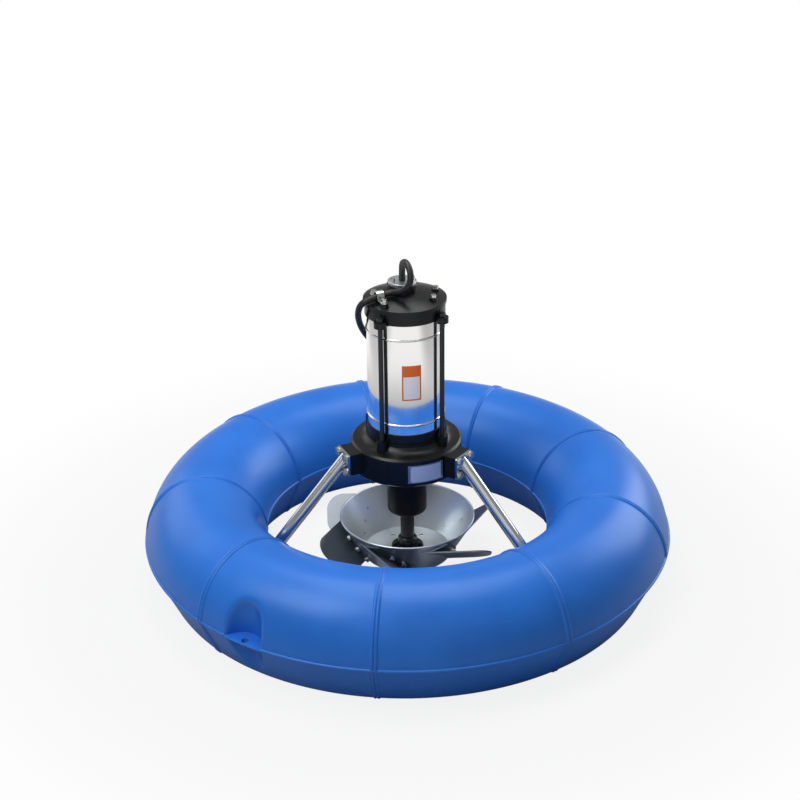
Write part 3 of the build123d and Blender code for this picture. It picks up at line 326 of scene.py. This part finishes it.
# Float ring: its section's sizes, as in the solid model. Widths are from the tube's middle line,
# whose radius is RING, and MIDDLE_Z is that line's height.
RING = 0.425
CROWN_WIDTH = 0.127
CROWN_Z = 0.0765
CROWN_RISE = 0.140
SEAM_Z = 0.093
SEAM_WIDTH = CROWN_WIDTH * math.cos(math.asin((SEAM_Z - CROWN_Z) / CROWN_RISE))
SHELF_LOW = 0.084
BASE_WIDTH = 0.084
BASE_CORNER = 0.012
MIDDLE_Z = 0.0885
# Its ribs and the seam's bead: a rib's two beads lie this many degrees to each side of its middle
RIB_AZIMUTHS = [23 + 40 * number for number in range(9)]
RIB_TURN = 0.37
BEAD = 0.003
RIB_FADE = 0.006
# Its recesses: radius, depth at the seam, height where the round top starts, blend of the edge, and
# how many degrees to each side are worked on
MOORING_AZIMUTHS = (235.0, 55.0)
MOORING_RECESS = (0.043, 0.036, 0.146, 0.009, 9)
ARM_AZIMUTHS = (204.5, 324.5, 84.5)
ARM_RECESS = (0.092, 0.040, 0.110, 0.016, 26)
# The blend is least at the shelf, so that its edge stays crisp, and full this far above it
CRISP_Z = 0.086
CRISP_RISE = 0.03
LEAST_BLEND = 0.15
# The hole in each shelf, and how far inside the seam it is
HOLE_RADIUS = 0.007
HOLE_INSET = 0.011


def section_outline():
    """The float's section about its tube's middle, as angles and distances from the point at the
    shelf: a crown ellipse over a tapered base with round corners and a flat floor."""
    start = math.asin((SEAM_Z - CROWN_Z) / CROWN_RISE)
    angle = np.linspace(start, math.pi - start, 400)
    crown = np.stack([CROWN_WIDTH * np.cos(angle), CROWN_Z + CROWN_RISE * np.sin(angle)], 1)
    lean = math.atan2(SEAM_WIDTH - BASE_WIDTH, SEAM_Z)
    reach = BASE_WIDTH - BASE_CORNER * math.tan((math.pi / 2 - lean) / 2)
    turn = np.linspace(-lean, -math.pi / 2, 20)
    quarter = np.stack([np.cos(turn), np.sin(turn)], 1)
    corner = np.array([reach, BASE_CORNER]) + BASE_CORNER * quarter
    share = np.linspace(1, 0, 60)[:, None]
    wall = (1 - share) * corner[0] + share * np.array([SEAM_WIDTH, SEAM_Z])
    right = np.concatenate([wall, corner])
    left = right[::-1] * np.array([-1, 1])
    floor = np.stack([np.linspace(reach, -reach, 80)[1:-1], np.zeros(78)], 1)
    outline = np.concatenate([crown[::-1], right, floor, left])
    across, up = (outline - np.array([0, MIDDLE_Z])).T
    return np.arctan2(up, across), np.hypot(across, up)


def fine_near(values, places, spread, count):
    """Adds extra values close to each place, within a spread, and sorts them all."""
    extra = [place + np.linspace(-spread, spread, count) for place in places]
    return np.unique(np.round(np.concatenate([values] + extra), 6))


def ring_grid():
    """Azimuths round the ring in degrees and angles round its tube in radians: even steps, and
    finer ones near the ribs and recesses, and near the seam and shelf on both of its sides."""
    azimuths = fine_near(np.arange(0, 360, 2.0), RIB_AZIMUTHS, 0.80, 17)
    azimuths = fine_near(azimuths, MOORING_AZIMUTHS, 7.2, 45)
    azimuths = fine_near(azimuths, ARM_AZIMUTHS, 16, 27)
    azimuths = np.unique(np.round(azimuths % 360, 6))
    angles = np.linspace(-math.pi, math.pi, 104, endpoint=False)
    angles = fine_near(angles, [0.035, -0.035], 0.09, 23)
    angles = fine_near(angles, [0.042, -0.042], 0.008, 11)
    angles = fine_near(angles, [math.pi - 0.08, -math.pi + 0.08], 0.07, 11)
    return azimuths, angles[(angles >= -math.pi) & (angles < math.pi)]


def round_bead(distance, half_width):
    """Height of a round bead at a distance from its middle: BEAD * sqrt(1 - (d / half width)^2)."""
    return BEAD * np.sqrt(np.clip(1 - (distance / half_width) ** 2, 0, 1))


def degrees_from(azimuths, azimuth):
    """How far each azimuth is from one azimuth, the short way round."""
    return np.abs((azimuths - azimuth + 180) % 360 - 180)


def smooth_max(a, b, blend):
    """The larger of two fields with a round blend between them: max + h^2 / 4k, h = k - |a - b|."""
    h = np.clip(blend - np.abs(a - b), 0, None)
    return np.maximum(a, b) + h * h / (4 * blend)


def recess_field(x, y, z, radius, middle, dome_z):
    """Distance to a recess, below 0 inside: an upright cylinder with a round top above the seam,
    and the same cylinder again below the shelf."""
    from_axis = np.hypot(x - middle.x, y - middle.y)
    wall = from_axis - radius
    ball = np.hypot(from_axis, z - dome_z) - radius
    over = np.maximum(np.where(z > dome_z, ball, wall), SEAM_Z - z)
    under = np.maximum(wall, z - SHELF_LOW)
    return np.minimum(over, under)


def cut_back(reach, azimuths, angles, azimuth, middle, radius, dome_z, blend):
    """The tube's distances at some azimuths, cut back by a recess. Along each line out from the
    tube's middle, field = smooth_max(distance - reach, -recess), and the new distance is where it
    first passes zero, on a straight line between the two steps on either side."""
    share = np.linspace(0.02, 1.02, 140)
    turn = np.radians(azimuths)[:, None, None]
    along = reach[:, :, None] * share
    out = RING + along * np.cos(angles)[None, :, None]
    height = MIDDLE_Z + along * np.sin(angles)[None, :, None]
    centre = polar(middle, azimuth, dome_z)
    recess = recess_field(out * np.cos(turn), out * np.sin(turn), height, radius, centre, dome_z)
    round_off = blend * np.clip((height - CRISP_Z) / CRISP_RISE, LEAST_BLEND, 1)
    field = smooth_max(along - reach[:, :, None], -recess, round_off)
    crossed = np.argmax(field > 0, axis=2)
    before = np.take_along_axis(field, (crossed - 1)[:, :, None], 2)[:, :, 0]
    after = np.take_along_axis(field, crossed[:, :, None], 2)[:, :, 0]
    step = share[crossed - 1] + (share[crossed] - share[crossed - 1]) * before / (before - after)
    return np.minimum(reach, reach * step)


def float_surface():
    """The ring as distance(azimuth, angle) from the tube's middle line. The section's outline gives
    the distance. A rib or the seam's bead adds the larger of the two: round beads 3 mm high, of
    which a rib has two side by side. A recess cuts the distance back."""
    azimuths, angles = ring_grid()
    outline_angle, outline_distance = section_outline()
    order = np.argsort(outline_angle)
    distance = np.interp(
        angles, outline_angle[order], outline_distance[order], period=2 * math.pi
    )
    gap = np.min([degrees_from(azimuths, azimuth) for azimuth in RIB_AZIMUTHS], 0)
    height = distance * np.sin(angles) + MIDDLE_Z
    rib = round_bead(gap - RIB_TURN, RIB_TURN)[:, None] * np.clip(height / RIB_FADE, 0, 1)
    reach = distance + np.maximum(rib, round_bead(height - SEAM_Z, BEAD))
    recesses = ((1, MOORING_AZIMUTHS, MOORING_RECESS), (-1, ARM_AZIMUTHS, ARM_RECESS))
    for outward, places, (radius, depth, dome_z, blend, spread) in recesses:
        middle = RING + outward * (SEAM_WIDTH - depth + radius)
        for azimuth in places:
            near = degrees_from(azimuths, azimuth) < spread
            reach[near] = cut_back(
                reach[near], azimuths[near], angles, azimuth, middle, radius, dome_z, blend
            )
    out = RING + reach * np.cos(angles)
    height = MIDDLE_Z + reach * np.sin(angles)
    turn = np.radians(azimuths)[:, None]
    points = np.stack([out * np.cos(turn), out * np.sin(turn), height], -1)
    return points, closed_grid(len(azimuths), len(angles))


def closed_grid(rows, columns):
    """Quads of a grid of points that closes on itself both ways: corners (i, j), (i+1, j),
    (i+1, j+1) and (i, j+1), each counted round."""
    row = np.arange(rows)[:, None] * columns
    next_row = np.roll(row, -1)
    column = np.arange(columns)[None, :]
    next_column = np.roll(column, -1)
    corners = [row + column, next_row + column, next_row + next_column, row + next_column]
    return np.stack(corners, axis=-1).reshape(-1, 4)


def piece_from(name, points, faces, made):
    """A new smooth piece from a point array and an array of faces, riding on the frame."""
    mesh = bpy.data.meshes.new(name)
    mesh.from_pydata(points.reshape(-1, 3).tolist(), [], faces.tolist())
    mesh.update()
    mesh.polygons.foreach_set("use_smooth", np.ones(len(mesh.polygons), bool))
    piece = bpy.data.objects.new(name, mesh)
    bpy.context.scene.collection.objects.link(piece)
    finish(piece, made)
    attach(piece, "frame")
    return piece


def drill(piece, radius, spot, reach):
    """Cuts an upright round hole through a piece's mesh with a prism of 40 sides, which reaches
    this far above and below the spot."""
    count = 40
    number = np.arange(count)
    turn = np.linspace(0, 2 * math.pi, count, endpoint=False)
    rim = np.stack([spot.x + radius * np.cos(turn), spot.y + radius * np.sin(turn)], 1)
    low = np.column_stack([rim, np.full(count, spot.z - reach)])
    high = np.column_stack([rim, np.full(count, spot.z + reach)])
    after = (number + 1) % count
    walls = np.stack([number, after, count + after, count + number], 1).tolist()
    caps = [number[::-1].tolist(), (count + number).tolist()]
    mesh = bpy.data.meshes.new("drill")
    mesh.from_pydata(np.concatenate([low, high]).tolist(), [], walls + caps)
    cutter = bpy.data.objects.new("drill", mesh)
    bpy.context.scene.collection.objects.link(cutter)
    cut = piece.modifiers.new("drill", "BOOLEAN")
    cut.object = cutter
    cut.operation = "DIFFERENCE"
    cut.solver = "EXACT"
    shown = piece.evaluated_get(bpy.context.evaluated_depsgraph_get())
    holed = bpy.data.meshes.new_from_object(shown)
    piece.modifiers.remove(cut)
    piece.data = holed
    bpy.data.objects.remove(cutter)
    bpy.data.meshes.remove(mesh)


ring_points, ring_faces = float_surface()
ring = piece_from("float_ring_skin", ring_points, ring_faces, float_blue)
for azimuth in MOORING_AZIMUTHS:
    drill(ring, HOLE_RADIUS, polar(RING + SEAM_WIDTH - HOLE_INSET, azimuth, SEAM_Z), 0.02)
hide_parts("float_ring")

# Power cable, in millimetres: the route's points from the solid model, the coil's turns, the tail
CABLE_DIAMETER = 13.0
COIL_MIDDLE = (0.0, 705.0)
COIL_RADIUS = 70.0
COIL_START = -35
COIL_TURNS = 3.598
COIL_STEPS = 16
COIL_LOWEST = 8.5
CHANGE_FROM = 0.8
route = [
    (-5, 0, 638),
    (-5, 0, 662),
    (-4, -14, 686),
    (4, -33, 693),
    (12, -49, 678),
    (11, -56, 655),
    (-6, -49, 637),
    (-30, -29, 629),
    (-73, -45, 619.5),
    (-88, -41, 608),
    (-94, -24, 583),
    (-93, 2, 556),
    (-89, 32, 528),
    (-78, 64, 494),
    (-53, 87, 456),
    (-28, 102, 412),
    (-12, 120, 368),
    (-6, 152, 324),
    (-6, 198, 286),
    (-8, 250, 258),
    (-8, 308, 240),
    (-7, 366, 231),
    (-4, 426, 229),
    (0, 484, 215),
    (3, 534, 182),
    (6, 572, 134),
    (8, 592, 84),
    (10, 606, 40),
    (22, 620, 14),
    (46, 636, 9),
]
tail = [(-78, 678, 19), (-83, 652, 12), (-93, 630, 7.5), (-108, 610, 7)]


def coil_points():
    """Points of the coil's turns, COIL_STEPS to a turn: (middle + radius * cos, middle + radius *
    sin, height). Two turns lie side by side on the floor and two on top of them. Over the last
    fifth of a turn, radius and height go over to the next turn's by 3b^2 - 2b^3."""
    wide, narrow = COIL_RADIUS + CABLE_DIAMETER / 2, COIL_RADIUS - CABLE_DIAMETER / 2
    low, high = COIL_LOWEST, COIL_LOWEST + CABLE_DIAMETER
    lanes = np.array([(wide, low), (narrow, low), (narrow, high), (wide, high)])
    done = np.arange(int(COIL_TURNS * COIL_STEPS) + 1) / COIL_STEPS
    lane = np.minimum(done.astype(int), 3)
    change = np.clip((done - lane - CHANGE_FROM) / (1 - CHANGE_FROM), 0, 1)[:, None]
    change = change * change * (3 - 2 * change)
    here, following = lanes[lane], lanes[np.minimum(lane + 1, 3)]
    radius, height = (here + (following - here) * change).T
    angle = np.radians(COIL_START + 360 * done)
    x = COIL_MIDDLE[0] + radius * np.cos(angle)
    y = COIL_MIDDLE[1] + radius * np.sin(angle)
    return np.column_stack([x, y, height])


def cord_curve(name, points):
    """A smooth NURBS spline with the route's points as control points, as thick as the cable."""
    data = bpy.data.curves.new(name, "CURVE")
    data.dimensions = "3D"
    data.bevel_depth = CABLE_DIAMETER * MM / 2
    data.bevel_resolution = 6
    data.use_fill_caps = True
    data.resolution_u = 8
    spline = data.splines.new("NURBS")
    spline.points.add(len(points) - 1)
    weights = np.ones(len(points))
    spline.points.foreach_set("co", np.column_stack([points * MM, weights]).ravel())
    spline.order_u = 3
    spline.use_endpoint_u = True
    curve = bpy.data.objects.new(name, data)
    bpy.context.scene.collection.objects.link(curve)
    finish(curve, sheath)
    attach(curve, "frame")
    return curve


def spline_length(curve):
    """Length of the curve's own line: the sum of the distances between its points."""
    bare = curve.data.copy()
    bare.bevel_depth = 0
    carrier = bpy.data.objects.new("measure", bare)
    mesh = bpy.data.meshes.new_from_object(carrier)
    places = np.zeros(len(mesh.vertices) * 3)
    mesh.vertices.foreach_get("co", places)
    steps = np.diff(places.reshape(-1, 3), axis=0)
    total = float(np.linalg.norm(steps, axis=1).sum())
    bpy.data.objects.remove(carrier)
    bpy.data.meshes.remove(mesh)
    bpy.data.curves.remove(bare)
    return total


cable = cord_curve("power_cable", np.concatenate([route, coil_points(), tail]))
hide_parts("cable", "cable_coil", "cable_tail")
cable_length = spline_length(cable)
print("cable length", round(cable_length, 3))

# Floor and backdrop: how far each kind of ray sees the floor lifted to white, by the distance from
# the ring's middle
FLOOR_SIZE = 40
FLOOR_BELOW = -0.0006
FLOOR_GREY = 0.5
FAR = 1.25
CAMERA_NEAR, CAMERA_LIFT = 0.62, 0.86
MIRROR_NEAR, MIRROR_LIFT = 0.80, 0.0
# The mirrored floor's lift dims to this share between two distances to the left or right
FLANK_NEAR, FLANK_FAR, FLANK_SHARE = 0.7, 1.3, 0.15
# The world's strength as light on the object, and as a mirror sees it
SKY_LIGHT, SKY_MIRRORED = 0.08, 0.32


def plane(name, size, height, made):
    """A square stage plane, size / 2 to each side of the origin."""
    half = size / 2
    corners = [(-half, -half, 0), (half, -half, 0), (half, half, 0), (-half, half, 0)]
    mesh = bpy.data.meshes.new(name)
    mesh.from_pydata(corners, [], [(0, 1, 2, 3)])
    stage = bpy.data.objects.new(name, mesh)
    stage.location.z = height
    bpy.context.scene.collection.objects.link(stage)
    stage.data.materials.append(made)
    return stage


def studio_floor():
    """A matt white floor. The camera sees it lifted towards white, fully so far from the ring, and
    near the ring its shading keeps the shadow. A mirror sees only the far floor lifted, and less
    of it at both sides, so that round steel gets dark flanks."""
    made = bpy.data.materials.new("matt white studio floor")
    made.use_nodes = True
    tree = made.node_tree
    shader = tree.nodes["Principled BSDF"]
    shader.inputs["Base Color"].default_value = (FLOOR_GREY, FLOOR_GREY, FLOOR_GREY, 1)
    shader.inputs["Roughness"].default_value = 0.9
    shader.inputs["Specular IOR Level"].default_value = 0.0
    path = add(tree, "ShaderNodeLightPath")
    spot = add(tree, "ShaderNodeTexCoord").outputs["Object"]
    away = add(tree, "ShaderNodeVectorMath", {0: spot}, operation="LENGTH").outputs["Value"]
    inputs = {0: spot, 1: (1, 0, 0)}
    aside = add(tree, "ShaderNodeVectorMath", inputs, operation="DOT_PRODUCT").outputs["Value"]
    aside = add(tree, "ShaderNodeMath", {0: aside}, operation="ABSOLUTE").outputs[0]
    lifts = []
    for value, near, far, low, high in (
        (away, CAMERA_NEAR, FAR, CAMERA_LIFT, 1.0),
        (away, MIRROR_NEAR, FAR, MIRROR_LIFT, 1.0),
        (aside, FLANK_NEAR, FLANK_FAR, 1.0, FLANK_SHARE),
    ):
        inputs = {"Value": value, "From Min": near, "From Max": far, "To Min": low, "To Max": high}
        lift = add(tree, "ShaderNodeMapRange", inputs, interpolation_type="SMOOTHERSTEP")
        lifts.append(lift.outputs["Result"])
    seen, mirrored, flank = lifts
    inputs = {0: seen, 1: path.outputs["Is Camera Ray"]}
    seen = add(tree, "ShaderNodeMath", inputs, operation="MULTIPLY").outputs[0]
    inputs = {0: mirrored, 1: path.outputs["Is Glossy Ray"]}
    mirrored = add(tree, "ShaderNodeMath", inputs, operation="MULTIPLY").outputs[0]
    inputs = {0: mirrored, 1: flank}
    mirrored = add(tree, "ShaderNodeMath", inputs, operation="MULTIPLY").outputs[0]
    inputs = {0: seen, 1: mirrored}
    amount = add(tree, "ShaderNodeMath", inputs, operation="MAXIMUM").outputs[0]
    glow = add(tree, "ShaderNodeEmission", {"Color": (1, 1, 1, 1), "Strength": 1.0})
    inputs = {0: amount, 1: shader.outputs["BSDF"], 2: glow.outputs["Emission"]}
    mix = add(tree, "ShaderNodeMixShader", inputs)
    tree.links.new(mix.outputs["Shader"], tree.nodes["Material Output"].inputs["Surface"])
    return made


def studio_world():
    """A white world: full strength for the camera, some for a mirror and a little as light."""
    world = bpy.data.worlds.new("studio")
    world.use_nodes = True
    tree = world.node_tree
    background = tree.nodes["Background"]
    background.inputs["Color"].default_value = (1, 1, 1, 1)
    path = add(tree, "ShaderNodeLightPath")
    inputs = {"Value": path.outputs["Is Glossy Ray"], "To Min": SKY_LIGHT, "To Max": SKY_MIRRORED}
    mirrored = add(tree, "ShaderNodeMapRange", inputs)
    inputs = {0: path.outputs["Is Camera Ray"], 1: mirrored.outputs["Result"]}
    strength = add(tree, "ShaderNodeMath", inputs, operation="MAXIMUM")
    tree.links.new(strength.outputs[0], background.inputs["Strength"])
    return world


plane("floor", FLOOR_SIZE, FLOOR_BELOW, studio_floor())
bpy.context.scene.world = studio_world()

# Lamps: azimuth and angle above the floor in degrees, distance and size in metres, and watts. All
# look at a point on the motor's axis, just under the height of the ring's crown.
LAMP_TARGET = Vector((0, 0, 0.2))
LAMPS = {
    "softbox_top": (90, 80, 3.2, 2.2, 58),
    "softbox_front": (-146, 56, 3.2, 1.6, 44),
    "softbox_right": (36, 28, 3.2, 1.9, 40),
    "softbox_left": (142, 26, 3.2, 1.8, 12),
    "softbox_fill": (-84, 34, 3.4, 2.6, 9),
}
for name, (azimuth, angle_up, distance, size, power) in LAMPS.items():
    lamp_data = bpy.data.lights.new(name, "AREA")
    lamp_data.size = size
    lamp_data.energy = power
    lamp = bpy.data.objects.new(name, lamp_data)
    up = math.radians(angle_up)
    lamp.location = polar(distance * math.cos(up), azimuth, distance * math.sin(up))
    lamp.rotation_mode = "QUATERNION"
    lamp.rotation_quaternion = (lamp.location - LAMP_TARGET).to_track_quat("Z", "Y")
    bpy.context.scene.collection.objects.link(lamp)
